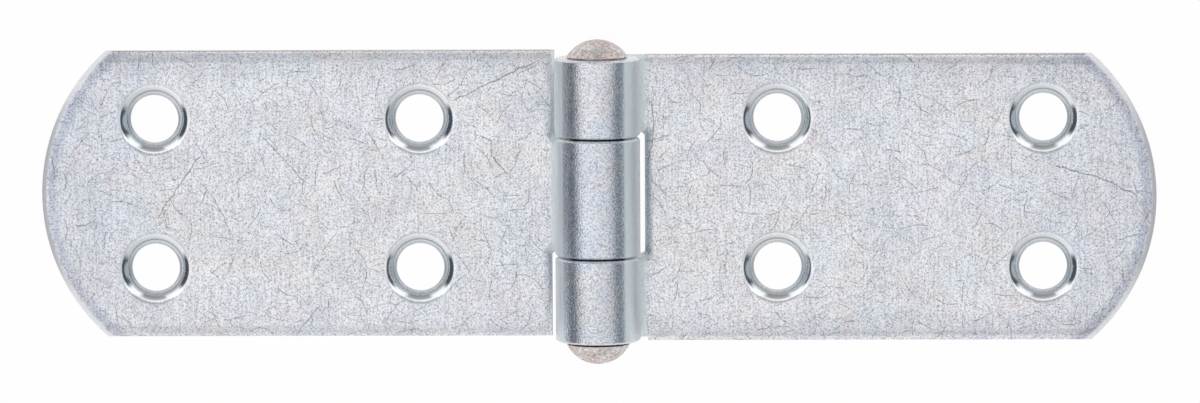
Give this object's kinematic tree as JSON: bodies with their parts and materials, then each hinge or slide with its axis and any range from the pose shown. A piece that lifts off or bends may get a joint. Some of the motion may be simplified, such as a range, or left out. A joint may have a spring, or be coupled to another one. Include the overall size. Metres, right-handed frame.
{
  "type": "chest strap hinge",
  "caption": "Flat strap hinge for a chest or box lid: two steel straps with rounded ends and countersunk screw holes, rolled round a headed pin.",
  "frame": {"origin": "under the middle of the pin, on the plane that the backs of both straps share", "axes": "+X along the straps towards the strap with two knuckles, +Y along the pin, +Z out of the front, where the screws go in"},
  "size_m": [0.1164, 0.0339, 0.0089],
  "materials": {
    "zinc_plated_steel": "bright blue-white zinc plating, satin",
    "pin_steel": "dull tumbled steel"
  },
  "bodies": {
    "two_knuckle_side": {"two_knuckle_leaf": "zinc_plated_steel", "hinge_pin": "pin_steel"},
    "single_knuckle_side": {"single_knuckle_leaf": "zinc_plated_steel"}
  },
  "joints": [
    {"name": "fold", "type": "hinge", "parent": "two_knuckle_side", "child": "single_knuckle_side", "pos_m": [0, 0, 0.00443], "axis": [0, 1, 0], "range_deg": [-90, 180]}
  ]
}
